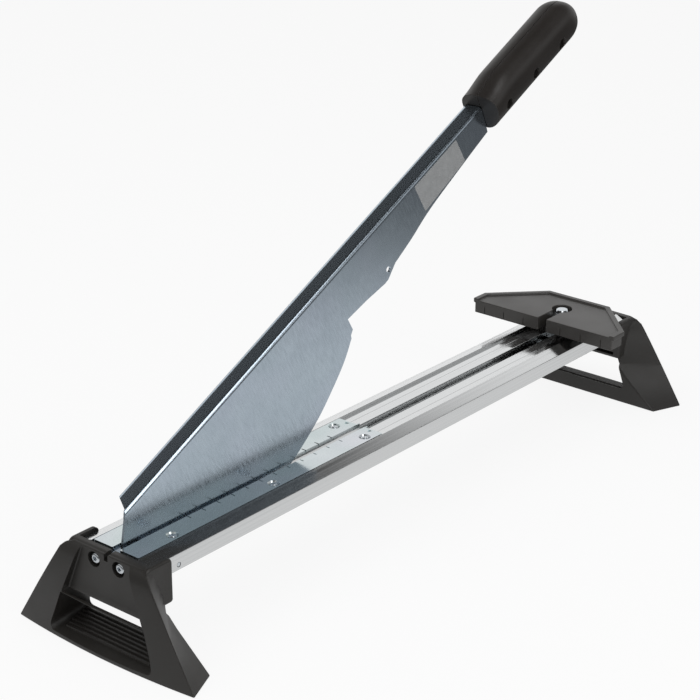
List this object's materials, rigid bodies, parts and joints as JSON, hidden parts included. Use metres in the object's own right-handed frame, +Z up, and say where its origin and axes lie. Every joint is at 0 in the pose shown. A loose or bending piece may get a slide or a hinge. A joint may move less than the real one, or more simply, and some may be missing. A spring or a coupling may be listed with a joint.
{
  "type": "laminate cutter",
  "caption": "Guillotine laminate cutter: a lever blade pivoted in a slotted aluminium rail between two moulded feet, with a sliding, swivelling fence.",
  "frame": {"origin": "on the floor under the middle of the rail, halfway between the outer edges of the two feet", "axes": "+X along the rail from the lever's pivot towards the fence, +Y across the rail to the side the folded lip of the lever is on, +Z up"},
  "size_m": [0.5914, 0.1612, 0.3437],
  "materials": {
    "bright_aluminium": "bright extruded mill finish with fine lengthwise drawing lines",
    "galvanised_steel": "smooth galvanised sheet with a cool grey shine",
    "zinc_plated_steel": "bright zinc plating",
    "black_moulded_plastic": "satin black injection moulding",
    "silver_label_film": "plain silver film, unprinted"
  },
  "bodies": {
    "base": {"rail": "bright_aluminium", "left_support_plate": "galvanised_steel", "right_support_plate": "galvanised_steel", "plate_rivet_left_1": "zinc_plated_steel", "plate_rivet_left_2": "zinc_plated_steel", "plate_rivet_left_3": "zinc_plated_steel", "plate_rivet_right_1": "zinc_plated_steel", "plate_rivet_right_2": "zinc_plated_steel", "plate_rivet_right_3": "zinc_plated_steel", "near_foot": "black_moulded_plastic", "near_foot_screw_left": "zinc_plated_steel", "near_foot_screw_right": "zinc_plated_steel", "far_foot": "black_moulded_plastic", "far_foot_screw_left": "zinc_plated_steel", "far_foot_screw_right": "zinc_plated_steel", "pivot_pin": "zinc_plated_steel", "pivot_spacer_left": "zinc_plated_steel", "pivot_spacer_right": "zinc_plated_steel"},
    "lever": {"blade_lever": "galvanised_steel", "grip_left_half": "black_moulded_plastic", "grip_right_half": "black_moulded_plastic", "grip_screw_1": "zinc_plated_steel", "grip_screw_2": "zinc_plated_steel", "grip_screw_3": "zinc_plated_steel", "lever_label": "silver_label_film"},
    "fence_carriage": {"fence_hub": "black_moulded_plastic", "fence_t_nut": "zinc_plated_steel", "fence_washer": "zinc_plated_steel", "fence_clamp_bolt": "zinc_plated_steel"},
    "fence": {"fence_plate": "black_moulded_plastic"}
  },
  "joints": [
    {"name": "lever_pivot", "type": "hinge", "parent": "base", "child": "lever", "pos_m": [-0.2514, 0, 0.06005], "axis": [0, -1, 0], "range_deg": [-22, 40]},
    {"name": "fence_slide", "type": "slide", "parent": "base", "child": "fence_carriage", "axis": [1, 0, 0], "range_m": [-0.12, 0.008]},
    {"name": "fence_swivel", "type": "hinge", "parent": "fence_carriage", "child": "fence", "pos_m": [0.2277, 0, 0.0804], "axis": [0, 0, 1], "range_deg": [-45, 45]}
  ]
}
